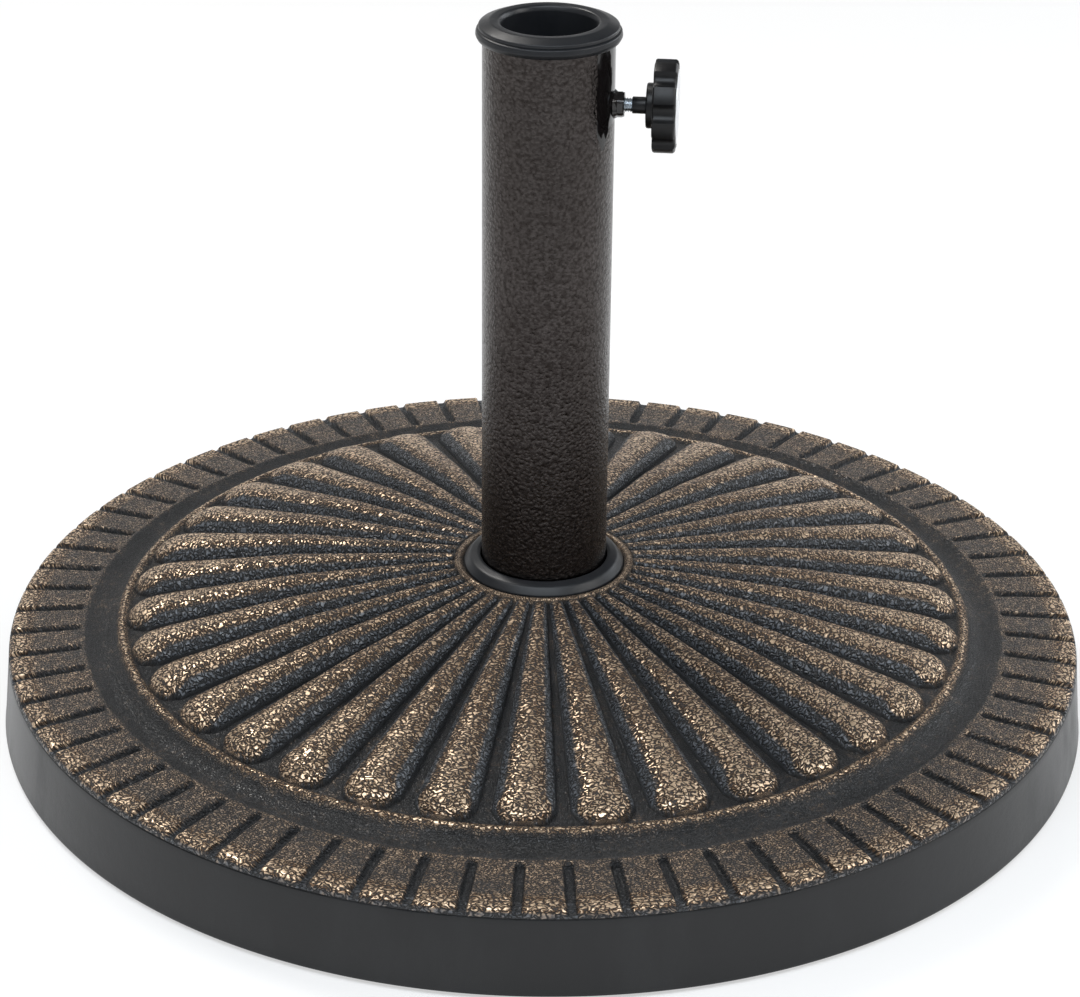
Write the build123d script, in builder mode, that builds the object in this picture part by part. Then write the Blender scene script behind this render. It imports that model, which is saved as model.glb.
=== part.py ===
"""Weighted parasol base.

A round moulded shell with a ribbed top is filled with cement and closed by a bottom plate on
rubber feet. A steel tube on a welded flange is bolted down through the middle. A plastic
collar and a removable reducer guide the parasol pole, and a star knob clamps it.

Millimetres, +Z up. The origin is on the floor, under the middle of the tube, and the clamp
screw points along +X.
"""
import os
from math import atan2, cos, degrees, hypot, radians, sin, sqrt

from build123d import *

# Shell: outer shape, from the rim inwards
base_radius = 240.0
side_height = 33.4
side_draft = 3.6
rim_roll = 3.0
rim_rise = 3.6
border_width = 33.0
border_rise = 1.5
cove_width = 14.7
cove_depth = 1.9
field_step = 1.5
dome_rise = 22.7
bead_gap = 0.3
bead_width = 4.2
bead_height = 1.9

# Shell: walls and the hub that takes the tube's flange
side_wall = 3.0
border_wall = 5.0  # from the slots' floor at the rim down to the cavity
hub_wall = 3.0
pocket_depth = 6.0
pocket_floor = 4.0
sleeve_wall = 2.5

# Relief: fluted petals on the dome, and slots round the border
petal_count = 35
petal_margin = 4.2
petal_spread = 0.073  # half-width over radius
petal_crest = [(0.0, 1.8), (0.24, 4.4), (0.57, 7.5), (1.0, 7.7)]  # share of length, height
petal_bead_gap = 0.5
nose_length = 20.0
nose_root = 1.5
nose_middle_share = 0.55
nose_middle_height = 0.74
nose_tip_width = 0.45
nose_tip_height = 0.1
slot_width = 4.6
slot_floor_width = 2.8
slot_depth = 2.6
slot_land = 1.2  # plain border left inside each slot's end
pattern_phase = 5.3

# Bottom plate and feet
foot_stand = 2.0
foot_radius = 16.0
foot_stem_radius = 4.5
foot_count = 6
foot_margin = 15.3  # plate left outside each foot
plate_inset = 1.0
plate_fit = 0.3
plate_thickness = 3.0
cup_radius = 22.0
cup_wall = 2.0
cup_depth = 17.0

# Anchor bolt, M10
bolt_radius = 5.0
bolt_head_flats = 17.0
bolt_head_height = 6.4
bolt_end = 1.5
bolt_clearance = 0.5
nut_height = 8.4
washer_radius = 15.0
washer_thickness = 2.5
spring_radius = 9.0
spring_thickness = 2.2
spring_gap = 14.0

# Tube and its flange
tube_wall = 1.5
tube_length = 243.7
flange_clearance = 0.6
flange_thickness = 3.5
tube_weld_leg = 3.0

# Trim ring over the flange
ring_overhang = 7.8
ring_edge = 1.3
ring_height = 5.6
ring_wall = 2.0
ring_gap = 0.55
ring_land = 1.4

# Collar and pole reducer
pole_radius = 19.0
pole_clearance = 0.75
collar_overhang = 2.8
collar_height = 4.8
collar_edge_round = 2.3
collar_skirt = 14.0
collar_skirt_wall = 1.8
skirt_fit = 0.1
reducer_fit = 0.25
reducer_overhang = 1.6
reducer_edge = 1.5
reducer_dome = 1.7
reducer_lip = 3.0
reducer_lip_start = 120.0  # where the lip's rounding meets the dome, in degrees
reducer_wall = 2.0
reducer_rib_height = 2.1
reducer_rib_width = 2.4
reducer_rib_count = 6
reducer_end_gap = 6.0

# Clamp: M6 weld nut, screw and star knob
clamp_drop = 27.0
screw_radius = 3.0
screw_fit = 0.05
screw_tip_gap = 0.75
screw_tip_chamfer = 0.8
screw_hold = 12.0
clamp_hole_clearance = 0.5
clamp_nut_flats = 10.0
clamp_nut_height = 4.0
clamp_nut_turn = 30.0  # a corner of the hexagon points up
clamp_weld_leg = 1.6
clamp_weld_lap = 0.2
knob_gap = 3.25
knob_shank_radius = 3.5
knob_shank_length = 5.8
knob_flange_radius = 9.4
knob_flange_thickness = 3.0
knob_radius = 19.25
knob_thickness = 9.7
knob_lobes = 8
knob_phase = 36.1
scallop_radius = 4.2
scallop_depth = 2.7
knob_back_depth = 6.0
knob_back_wall = 2.3
disc_radius = 15.3
disc_thickness = 0.9
disc_recess = 0.5

CUT = 1.0  # how far cutters reach past a face

# Levels
shell_z = foot_stand
parting_z = shell_z + side_height
rim_z = parting_z + rim_rise
border_z = rim_z + border_rise
field_z = border_z + field_step
hub_z = field_z + dome_rise
pocket_z = hub_z - pocket_depth
roof_z = rim_z - slot_depth - border_wall
plate_z = shell_z + plate_inset
ballast_z = plate_z + plate_thickness
cup_z = plate_z + cup_depth
flange_top = pocket_z + flange_thickness
tube_top = flange_top + tube_length
collar_top = tube_top + collar_height
clamp_z = tube_top - clamp_drop

# Radii
parting_radius = base_radius - side_draft
rim_radius = parting_radius - rim_roll
border_inner = parting_radius - border_width
field_radius = border_inner - cove_width
petal_tip = field_radius - petal_margin
sleeve_bore = bolt_radius + bolt_clearance
sleeve_radius = sleeve_bore + sleeve_wall

# Radii of the tube and what sits round it, from the pole outwards
pole_bore = pole_radius + pole_clearance
rib_radius = pole_bore + reducer_wall + reducer_rib_height
collar_bore = rib_radius + reducer_fit
skirt_radius = collar_bore + collar_skirt_wall
tube_inner = skirt_radius + skirt_fit
tube_radius = tube_inner + tube_wall
ring_radius = tube_radius + ring_overhang
flange_radius = ring_radius - ring_wall - 2 * flange_clearance
pocket_radius = flange_radius + flange_clearance
bead_inner = ring_radius + bead_gap
bead_radius = bead_inner + bead_width / 2
bead_outer = bead_inner + bead_width

os.makedirs("parts", exist_ok=True)


def level_plane(height):
    """Horizontal plane at a height."""
    return Plane.XY.offset(height)


def clamp_plane(x):
    """Plane across the clamp screw's axis, at a distance from the tube's middle."""
    return Plane(origin=(x, 0, clamp_z), x_dir=(0, 1, 0), z_dir=(1, 0, 0))


def round_points(centre, width, height, start, end, steps):
    """Points on an ellipse's arc, from a start to an end angle in degrees."""
    angles = [radians(start + (end - start) * step / steps) for step in range(steps + 1)]
    return [(centre[0] + width * cos(a), centre[1] + height * sin(a)) for a in angles]


def inner_side_radius(height):
    """Radius of the shell's drafted inner side at a height."""
    climb = (height - shell_z) / (parting_z - shell_z)
    return base_radius - side_wall - side_draft * climb


def dome_height(radius):
    """Height of the plain dome, a cone from the field's edge up to the bead, at a radius."""
    return field_z + dome_rise * (field_radius - radius) / (field_radius - bead_outer)


# Cavity that the cement fills: one profile for the shell's inside and for the ballast
with BuildPart() as cavity:
    with BuildSketch(Plane.XZ):
        with BuildLine():
            Polyline(
                (sleeve_radius, shell_z - CUT),
                (inner_side_radius(shell_z - CUT), shell_z - CUT),
                (inner_side_radius(roof_z), roof_z),
                (pocket_radius + hub_wall, pocket_z),
                (pocket_radius + hub_wall, pocket_z - pocket_floor),
                (sleeve_radius, pocket_z - pocket_floor),
                close=True,
            )
        make_face()
    revolve(axis=Axis.Z)


def petal_section(radius, half_width, height, root):
    """Half-round section across a petal, its feet on the dome or sunk into it by a root."""
    foot = dome_height(hypot(radius, half_width)) - root
    crest = dome_height(radius) + height
    plane = Plane(origin=(radius, 0, 0), x_dir=(0, 1, 0), z_dir=(1, 0, 0))
    with BuildSketch(plane) as section:
        with BuildLine():
            ThreePointArc((-half_width, foot), (0, crest), (half_width, foot))
            Line((half_width, foot), (-half_width, foot))
        make_face()
    return section.sketch


# One petal, along +X. Its feet follow the dome's straight rulings, and it ends in a blunt nose
petal_start = bead_outer + petal_bead_gap
nose_start = petal_tip - nose_length
petal_height = petal_crest[-1][1]
nose_middle = nose_start + nose_middle_share * nose_length
with BuildPart() as petal:
    for share, height in petal_crest:
        radius = petal_start + share * (nose_start - petal_start)
        add(petal_section(radius, petal_spread * radius, height, 0))
    loft(ruled=True)
with BuildPart() as petal_nose:
    add(petal_section(nose_start, petal_spread * nose_start, petal_height, nose_root))
    add(
        petal_section(
            nose_middle, petal_spread * nose_middle, nose_middle_height * petal_height, nose_root
        )
    )
    add(
        petal_section(
            petal_tip,
            nose_tip_width * petal_spread * petal_tip,
            nose_tip_height * petal_height,
            nose_root,
        )
    )
    loft(ruled=True)

# One border slot, along +X: a trough with leaning sides that runs out at the rim
slot_slope = border_rise / (rim_radius - border_inner)
slot_lean = (slot_width - slot_floor_width) / 2
slot_start = border_inner + slot_land
slot_plane = Plane(
    origin=(slot_start, 0, border_z - slot_slope * slot_land),
    x_dir=(0, 1, 0),
    z_dir=(1, 0, -slot_slope),
)
with BuildPart() as slot:
    with BuildSketch(slot_plane):
        with Locations((0, (CUT - slot_depth) / 2)):
            Trapezoid(
                slot_width + 2 * slot_lean * CUT / slot_depth,
                slot_depth + CUT,
                180 - degrees(atan2(slot_depth, -slot_lean)),
                rotation=180,
            )
    extrude(amount=border_width + CUT)

# Shell. Its profile is turned from a valley, so that the seam lies between two petals
valley_angle = radians(pattern_phase + 180 / petal_count)
valley_plane = Plane(
    origin=(0, 0, 0),
    x_dir=(cos(valley_angle), sin(valley_angle), 0),
    z_dir=(sin(valley_angle), -cos(valley_angle), 0),
)
with BuildPart() as base_shell:
    with BuildSketch(valley_plane):
        with BuildLine():
            Polyline(
                (0, hub_z),
                (0, shell_z),
                (base_radius, shell_z),
                (parting_radius, parting_z),
                (rim_radius, rim_z),
                (border_inner, border_z),
                (border_inner - cove_width / 2, border_z - cove_depth),
                (field_radius, field_z),
                (bead_outer, hub_z),
                (bead_radius, hub_z + bead_height),
                (bead_inner, hub_z),
                close=True,
            )
        make_face()
    revolve(axis=Axis.Z)
    with PolarLocations(0, petal_count, start_angle=pattern_phase):
        add(petal.part)
        add(petal_nose.part)
    with PolarLocations(0, 2 * petal_count, start_angle=pattern_phase):
        add(slot.part, mode=Mode.SUBTRACT)
    add(cavity.part, mode=Mode.SUBTRACT)
    with BuildSketch(level_plane(hub_z)):
        Circle(pocket_radius)
    extrude(amount=-pocket_depth, mode=Mode.SUBTRACT)
    with BuildSketch(level_plane(shell_z - CUT)):
        Circle(sleeve_bore)
    extrude(amount=hub_z, mode=Mode.SUBTRACT)
    with BuildSketch(level_plane(shell_z - CUT)):
        Circle(sleeve_radius + CUT)
    extrude(amount=cup_z - shell_z + CUT, mode=Mode.SUBTRACT)

# Cement ballast
with BuildPart() as cement_ballast:
    add(cavity.part)
    with BuildSketch(level_plane(shell_z - 2 * CUT)):
        Circle(base_radius)
    extrude(amount=ballast_z - shell_z + 2 * CUT, mode=Mode.SUBTRACT)
    with BuildSketch(level_plane(ballast_z - CUT)):
        Circle(cup_radius + cup_wall)
    extrude(amount=cup_z + cup_wall - ballast_z + CUT, mode=Mode.SUBTRACT)

# Bottom plate with the cup that takes the bolt head
plate_radius = inner_side_radius(ballast_z) - plate_fit
foot_circle = plate_radius - foot_margin - foot_radius
with BuildPart() as bottom_plate:
    with BuildSketch(level_plane(plate_z)):
        Circle(plate_radius)
    extrude(amount=plate_thickness)
    with BuildSketch(level_plane(plate_z)):
        Circle(cup_radius + cup_wall)
    extrude(amount=cup_depth + cup_wall)
    with BuildSketch(level_plane(plate_z)):
        Circle(cup_radius)
    extrude(amount=cup_depth, mode=Mode.SUBTRACT)
    with BuildSketch(level_plane(plate_z)):
        Circle(sleeve_radius)
        with PolarLocations(foot_circle, foot_count):
            Circle(foot_stem_radius)
    extrude(amount=cup_depth + cup_wall + CUT, mode=Mode.SUBTRACT)

# Rubber feet: pad under the plate, stem pushed through it
rubber_feet = []
for number in range(foot_count):
    angle = radians(number * 360 / foot_count)
    centre = (foot_circle * cos(angle), foot_circle * sin(angle), 0)
    with BuildPart() as rubber_foot:
        with BuildSketch(Plane(origin=centre)):
            Circle(foot_radius)
        extrude(amount=plate_z)
        with BuildSketch(Plane(origin=centre)):
            Circle(foot_stem_radius)
        extrude(amount=ballast_z)
    rubber_foot.part.label = f"rubber_foot_{number + 1}"
    rubber_feet.append(rubber_foot.part)

# Anchor bolt with its washers
washer_z = cup_z - washer_thickness
spring_z = washer_z - spring_thickness
nut_top = flange_top + nut_height

with BuildPart() as flat_washer:
    with BuildSketch(level_plane(washer_z)):
        Circle(washer_radius)
        Circle(sleeve_bore, mode=Mode.SUBTRACT)
    extrude(amount=washer_thickness)

with BuildPart() as spring_washer:
    with BuildSketch(Plane.XZ):
        with Locations(((bolt_radius + spring_radius) / 2, spring_z + spring_thickness / 2)):
            Rectangle(spring_radius - bolt_radius - bolt_clearance, spring_thickness)
    revolve(axis=Axis.Z, revolution_arc=360 - spring_gap)

with BuildPart() as anchor_bolt:
    with BuildSketch(level_plane(spring_z)):
        RegularPolygon(bolt_head_flats / 2, 6, major_radius=False)
    extrude(amount=-bolt_head_height)
    with BuildSketch(level_plane(spring_z)):
        Circle(bolt_radius)
    extrude(amount=nut_top + bolt_end - spring_z)
    chamfer(anchor_bolt.edges().sort_by(Axis.Z)[-1], bolt_end / 2)

# Tube foot: flange in the shell's pocket, weld nut on it, and the tube's fillet weld
with BuildPart() as tube_flange:
    with BuildSketch(level_plane(pocket_z)):
        Circle(flange_radius)
        Circle(sleeve_bore, mode=Mode.SUBTRACT)
    extrude(amount=flange_thickness)

with BuildPart() as anchor_nut:
    with BuildSketch(level_plane(flange_top)):
        RegularPolygon(bolt_head_flats / 2, 6, major_radius=False)
        Circle(bolt_radius + screw_fit, mode=Mode.SUBTRACT)
    extrude(amount=nut_height)

with BuildPart() as tube_weld:
    with BuildSketch(Plane.XZ):
        with BuildLine():
            Polyline(
                (tube_radius, flange_top + tube_weld_leg),
                (tube_radius, flange_top),
                (tube_radius + tube_weld_leg, flange_top),
                close=True,
            )
        make_face()
    revolve(axis=Axis.Z)

# Tube, with the clamp screw's hole
with BuildPart() as tube:
    with BuildSketch(level_plane(flange_top)):
        Circle(tube_radius)
        Circle(tube_inner, mode=Mode.SUBTRACT)
    extrude(amount=tube_length)
    with BuildSketch(clamp_plane(tube_inner / 2)):
        Circle(screw_radius + clamp_hole_clearance)
    extrude(amount=tube_radius, mode=Mode.SUBTRACT)

# Trim ring: domed cover over the flange and its weld
ring_top = hub_z + ring_height
ring_bore = tube_radius + ring_gap
ring_inner = pocket_radius - flange_clearance
ring_shoulder = (ring_bore + ring_land, hub_z + ring_edge)
with BuildPart() as trim_ring:
    with BuildSketch(Plane.XZ):
        with BuildLine():
            Polyline(
                (ring_inner, hub_z),
                (ring_radius, hub_z),
                *round_points(
                    ring_shoulder, ring_radius - ring_shoulder[0], ring_height - ring_edge, 0, 90, 3
                ),
                (ring_bore, ring_top),
                (ring_bore, ring_top - ring_wall),
                close=True,
            )
        make_face()
    revolve(axis=Axis.Z)

# Collar on the tube's top: thick rounded rim with a skirt inside the tube
collar_radius = tube_radius + collar_overhang
edge_centre = collar_radius - collar_edge_round
with BuildPart() as tube_collar:
    with BuildSketch(Plane.XZ):
        with BuildLine():
            Polyline(
                (collar_bore, tube_top - collar_skirt),
                (skirt_radius, tube_top - collar_skirt),
                (skirt_radius, tube_top),
                *round_points(
                    (edge_centre, tube_top + collar_edge_round),
                    collar_edge_round, collar_edge_round, -90, 0, 3,
                ),
                *round_points(
                    (edge_centre + collar_edge_round / 2, collar_top - collar_edge_round / 2),
                    collar_edge_round / 2, collar_edge_round / 2, 0, 90, 2,
                ),
                (collar_bore, collar_top),
                close=True,
            )
        make_face()
    revolve(axis=Axis.Z)

# Pole reducer: loose insert with a domed flange and a ribbed sleeve
reducer_radius = tube_radius + reducer_overhang
reducer_top = collar_top + reducer_edge + reducer_dome
sleeve_end = clamp_z + screw_radius + reducer_end_gap
rib_root = pole_bore + reducer_wall / 2
dome_foot = collar_top + reducer_edge
with BuildPart() as pole_reducer:
    with BuildSketch(Plane.XZ):
        with BuildLine():
            Polyline(
                (pole_bore, sleeve_end),
                (pole_bore + reducer_wall, sleeve_end),
                (pole_bore + reducer_wall, collar_top),
                (reducer_radius, collar_top),
                *round_points(
                    (pole_bore + reducer_lip, dome_foot),
                    reducer_radius - pole_bore - reducer_lip, reducer_dome, 0, 90, 3,
                ),
                *round_points(
                    (pole_bore + reducer_lip, reducer_top - reducer_lip),
                    reducer_lip, reducer_lip, reducer_lip_start, 180, 2,
                ),
                close=True,
            )
        make_face()
    revolve(axis=Axis.Z)
    with BuildSketch(level_plane(sleeve_end)):
        with PolarLocations((rib_root + rib_radius) / 2, reducer_rib_count):
            Rectangle(rib_radius - rib_root, reducer_rib_width)
    extrude(amount=collar_top - sleeve_end)

# Clamp nut and its weld on the tube
clamp_nut_face = tube_radius + clamp_nut_height
clamp_nut_corner = clamp_nut_flats / sqrt(3)
with BuildPart() as clamp_nut:
    with BuildSketch(clamp_plane(tube_radius)):
        RegularPolygon(clamp_nut_flats / 2, 6, major_radius=False, rotation=clamp_nut_turn)
        Circle(screw_radius + screw_fit, mode=Mode.SUBTRACT)
    extrude(amount=clamp_nut_height)

with BuildPart() as clamp_weld:
    with BuildSketch(clamp_plane(tube_radius + clamp_weld_leg)):
        Circle(clamp_nut_corner + clamp_weld_lap)
    with BuildSketch(clamp_plane(tube_radius - clamp_weld_leg / 2)):
        Circle(clamp_nut_corner + clamp_weld_leg)
    loft()
    with BuildSketch(level_plane(clamp_z - tube_radius)):
        Circle(tube_radius)
    extrude(amount=2 * tube_radius, mode=Mode.SUBTRACT)
    with BuildSketch(clamp_plane(0)):
        RegularPolygon(clamp_nut_flats / 2, 6, major_radius=False, rotation=clamp_nut_turn)
    extrude(amount=2 * tube_radius, mode=Mode.SUBTRACT)

# Clamp screw: threaded stud held in the knob
screw_tip = pole_bore + screw_tip_gap
knob_start = clamp_nut_face + knob_gap
with BuildPart() as clamp_screw:
    with BuildSketch(clamp_plane(screw_tip)):
        Circle(screw_radius)
    extrude(amount=knob_start + screw_hold - screw_tip)
    chamfer(clamp_screw.edges().sort_by(Axis.X)[0], screw_tip_chamfer)

# Star knob
knob_flange_x = knob_start + knob_shank_length
knob_head_x = knob_flange_x + knob_flange_thickness
knob_face_x = knob_head_x + knob_thickness
scallop_centre = knob_radius + scallop_radius - scallop_depth
back_radius = knob_radius - scallop_depth - knob_back_wall
with BuildPart() as knob:
    with BuildSketch(clamp_plane(knob_head_x)):
        Circle(knob_radius)
        with PolarLocations(scallop_centre, knob_lobes, start_angle=knob_phase):
            Circle(scallop_radius, mode=Mode.SUBTRACT)
    extrude(amount=knob_thickness)
    with BuildSketch(clamp_plane(knob_head_x)):
        Circle(back_radius)
    extrude(amount=knob_back_depth, mode=Mode.SUBTRACT)
    with BuildSketch(clamp_plane(knob_flange_x)):
        Circle(knob_flange_radius)
    extrude(amount=knob_flange_thickness + knob_back_depth)
    with BuildSketch(clamp_plane(knob_start)):
        Circle(knob_shank_radius)
    extrude(amount=knob_shank_length)
    with BuildSketch(clamp_plane(knob_start)):
        Circle(screw_radius + screw_fit)
    extrude(amount=screw_hold + screw_fit, mode=Mode.SUBTRACT)
    with BuildSketch(clamp_plane(knob_face_x)):
        Circle(disc_radius)
    extrude(amount=-disc_recess, mode=Mode.SUBTRACT)

with BuildPart() as knob_disc:
    with BuildSketch(clamp_plane(knob_face_x - disc_recess)):
        Circle(disc_radius)
    extrude(amount=disc_thickness)

base_shell.part.label = "base_shell"
cement_ballast.part.label = "cement_ballast"
bottom_plate.part.label = "bottom_plate"
flat_washer.part.label = "flat_washer"
spring_washer.part.label = "spring_washer"
anchor_bolt.part.label = "anchor_bolt"
anchor_nut.part.label = "anchor_nut"
tube_flange.part.label = "tube_flange"
tube_weld.part.label = "tube_weld"
tube.part.label = "tube"
trim_ring.part.label = "trim_ring"
tube_collar.part.label = "tube_collar"
pole_reducer.part.label = "pole_reducer"
clamp_nut.part.label = "clamp_nut"
clamp_weld.part.label = "clamp_weld"
clamp_screw.part.label = "clamp_screw"
knob.part.label = "knob"
knob_disc.part.label = "knob_disc"

export_step(base_shell.part, "parts/base_shell.step")
export_step(cement_ballast.part, "parts/cement_ballast.step")
export_step(bottom_plate.part, "parts/bottom_plate.step")
export_step(flat_washer.part, "parts/flat_washer.step")
export_step(spring_washer.part, "parts/spring_washer.step")
export_step(anchor_bolt.part, "parts/anchor_bolt.step")
export_step(anchor_nut.part, "parts/anchor_nut.step")
export_step(tube_flange.part, "parts/tube_flange.step")
export_step(tube_weld.part, "parts/tube_weld.step")
export_step(tube.part, "parts/tube.step")
export_step(trim_ring.part, "parts/trim_ring.step")
export_step(tube_collar.part, "parts/tube_collar.step")
export_step(pole_reducer.part, "parts/pole_reducer.step")
export_step(clamp_nut.part, "parts/clamp_nut.step")
export_step(clamp_weld.part, "parts/clamp_weld.step")
export_step(clamp_screw.part, "parts/clamp_screw.step")
export_step(knob.part, "parts/knob.step")
export_step(knob_disc.part, "parts/knob_disc.step")
for foot in rubber_feet:
    export_step(foot, f"parts/{foot.label}.step")
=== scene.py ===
"""Weighted parasol base with a fluted antique bronze top: its looks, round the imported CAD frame.

Metres, +Z up, in the row frame. Shapes are worked out in millimetres and scaled by MM.
"""
import math

import bmesh
import bpy
import numpy as np
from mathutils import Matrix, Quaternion, Vector


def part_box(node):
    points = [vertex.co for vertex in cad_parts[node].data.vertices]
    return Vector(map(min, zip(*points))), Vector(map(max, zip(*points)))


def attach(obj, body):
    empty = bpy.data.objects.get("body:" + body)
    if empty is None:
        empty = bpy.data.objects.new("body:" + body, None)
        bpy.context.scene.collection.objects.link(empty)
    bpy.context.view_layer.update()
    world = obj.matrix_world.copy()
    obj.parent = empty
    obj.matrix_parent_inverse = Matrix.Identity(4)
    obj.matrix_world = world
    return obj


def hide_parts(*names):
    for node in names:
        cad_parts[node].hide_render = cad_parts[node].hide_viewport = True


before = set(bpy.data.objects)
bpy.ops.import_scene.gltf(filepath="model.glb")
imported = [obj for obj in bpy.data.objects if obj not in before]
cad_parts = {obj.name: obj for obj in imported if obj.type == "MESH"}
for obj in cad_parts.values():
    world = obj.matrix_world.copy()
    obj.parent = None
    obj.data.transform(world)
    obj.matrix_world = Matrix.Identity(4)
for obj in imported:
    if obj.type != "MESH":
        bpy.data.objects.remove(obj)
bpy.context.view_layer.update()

MM = 0.001


def box_mm(node):
    """Lowest and highest corner of a CAD node, in millimetres."""
    low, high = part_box(node)
    return Vector(low) / MM, Vector(high) / MM


# ---------------------------------------------------------------- sizes, millimetres
shell_low, shell_high = box_mm("base_shell")
tube_high = box_mm("tube")[1]
ring_low, ring_high = box_mm("trim_ring")
collar_low, collar_high = box_mm("tube_collar")
reducer_low, reducer_high = box_mm("pole_reducer")
nut_low, nut_high = box_mm("clamp_nut")
weld_high = box_mm("clamp_weld")[1]
screw_low, screw_high = box_mm("clamp_screw")
knob_low, knob_high = box_mm("knob")
flange_low, flange_high = box_mm("tube_flange")

base_radius = shell_high.x
shell_z = shell_low.z
hub_z = ring_low.z
pocket_z = flange_low.z
tube_radius = tube_high.x
clamp_z = (screw_low.z + screw_high.z) / 2

# Shell profile
side_draft = 3.6
parting_z = shell_z + 33.4
rim_roll = 3.0
rim_rise = 3.6
border_width = 33.0
border_rise = 1.5
cove_width = 14.7
cove_sag = 2.65
field_step = 1.5
dome_rise = 22.7
bead_gap = 0.3
bead_half = 2.1
bead_height = 1.9
lip_inset = 2.0
lip_half = 2.6
lip_height = 1.9
side_wall = 3.0
border_wall = 5.0
hub_wall = 3.0
pocket_floor = 4.0
sleeve_bore = 5.5
sleeve_wall = 2.5
sleeve_end = 20.0

# Relief
petal_count = 35
pattern_phase = 5.3
petal_spread = 0.073
petal_bead_gap = 0.5
petal_crest = ((0.0, 1.8), (0.24, 4.4), (0.57, 7.5), (1.0, 7.7))
nose_length = 20.0
nose_round = 12.5
petal_margin = 4.2
slot_half = 2.3
slot_floor_half = 1.4
slot_depth = 2.6
slot_land = 1.2
petal_period = 2 * math.pi / petal_count

# Columns and rings of the shell's mesh
wall_marks = np.array([0, 0.7, slot_floor_half, 1.85, slot_half, 2.7, 3.4, 4.3, 5.3, 6.4, 7.6, 8.7])
wall_marks_fixed = 6  # marks at the slot's own walls, which don't spread with the radius
wall_marks_reach = 9.79  # half of the pitch that the marks are laid out for
least_marked_radius = 150.0
columns_per_slot = 24
dome_rings = 130
border_rings = 28

# Grain
petal_shift = 57.3  # so that no two petals have the same pebbles
plain_grain_radius = 200.0  # where the grain off the petals is laid out true to size

# Paint that pooled round the clamp nut and ran down beside it
pool_half = 19.5
pool_below = 6.0
drip_place = 14.6
drip_half = 3.0
drip_length = 8.5

parting_radius = base_radius - side_draft
rim_radius = parting_radius - rim_roll
rim_z = parting_z + rim_rise
border_inner = parting_radius - border_width
border_z = rim_z + border_rise
field_radius = border_inner - cove_width
field_z = border_z + field_step
petal_tip = field_radius - petal_margin
nose_start = petal_tip - nose_length
bead_radius = ring_high.x + bead_gap + bead_half
bead_outer = bead_radius + bead_half
petal_start = bead_outer + petal_bead_gap


# ---------------------------------------------------------------- mesh helpers
def smooth_step(low, high, value):
    """Smooth rise from 0 at the low value to 1 at the high one."""
    share = np.clip((value - low) / (high - low), 0, 1)
    return share * share * (3 - 2 * share)


def grid_object(name, points, close_rows=True):
    """Outward-facing mesh over rows of points in millimetres, each row a closed ring."""
    rows, columns = points.shape[:2]
    row_steps = np.arange(rows if close_rows else rows - 1)
    row, column = np.meshgrid(row_steps, np.arange(columns), indexing="ij")
    next_row, next_column = (row + 1) % rows, (column + 1) % columns
    corners = np.stack(
        [
            row * columns + column,
            row * columns + next_column,
            next_row * columns + next_column,
            next_row * columns + column,
        ],
        axis=-1,
    ).reshape(-1)
    mesh = bpy.data.meshes.new(name)
    mesh.vertices.add(rows * columns)
    mesh.vertices.foreach_set("co", (points * MM).astype(np.float32).reshape(-1))
    mesh.loops.add(len(corners))
    mesh.loops.foreach_set("vertex_index", corners.astype(np.int32))
    mesh.polygons.add(len(corners) // 4)
    mesh.polygons.foreach_set("loop_start", np.arange(0, len(corners), 4, dtype=np.int32))
    mesh.update(calc_edges=True)
    mesh.validate()
    mesh.shade_smooth()
    made = bpy.data.objects.new(name, mesh)
    bpy.context.scene.collection.objects.link(made)
    work = bmesh.new()
    work.from_mesh(mesh)
    bmesh.ops.recalc_face_normals(work, faces=work.faces)
    work.to_mesh(mesh)
    work.free()
    return made


def round_corners(points, steps=6):
    """Closed outline of (radius, height, corner radius) points with its corners rounded."""
    outline = []
    count = len(points)
    for index in range(count):
        corner = np.array(points[index][:2], float)
        before = np.array(points[index - 1][:2], float) - corner
        after = np.array(points[(index + 1) % count][:2], float) - corner
        reach = points[index][2]
        if reach <= 0:
            outline.append(corner)
            continue
        before_length, after_length = np.linalg.norm(before), np.linalg.norm(after)
        before, after = before / before_length, after / after_length
        angle = math.acos(np.clip(before @ after, -1, 1))
        cut = min(reach / math.tan(angle / 2), 0.49 * before_length, 0.49 * after_length)
        start, end = corner + before * cut, corner + after * cut
        for step in range(steps + 1):
            share = step / steps
            outline.append(
                (1 - share) ** 2 * start + 2 * share * (1 - share) * corner + share**2 * end
            )
    return np.array(outline)


def turned(name, outline, columns, round_screw=False):
    """Closed outline of (radius, height) points turned round Z, or round the clamp screw's axis."""
    angle = np.linspace(0, 2 * math.pi, columns, endpoint=False)[None, :]
    radius, height = outline[:, :1], outline[:, 1:]
    across, up = radius * np.cos(angle), radius * np.sin(angle)
    along = np.broadcast_to(height, across.shape)
    if round_screw:
        return grid_object(name, np.stack([along, across, up + clamp_z], axis=-1))
    return grid_object(name, np.stack([across, up, along], axis=-1))


def clamp_ring(x, radius, angle):
    """Ring of points round the clamp screw's axis."""
    radius = np.broadcast_to(radius, angle.shape)
    along = np.full(len(angle), x)
    return np.stack([along, radius * np.cos(angle), radius * np.sin(angle) + clamp_z], -1)


def sharp_corners(made, angle):
    """Sharp shading where faces meet at more than an angle, in degrees."""
    made.data.set_sharp_from_angle(angle=math.radians(angle))
    return made


def finish_piece(made, body, paint, cad_node):
    """Body that a piece rides on, its paint and the CAD node that it replaces."""
    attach(made, body)
    made.data.materials.clear()
    made.data.materials.append(paint)
    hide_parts(cad_node)
    return made


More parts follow.
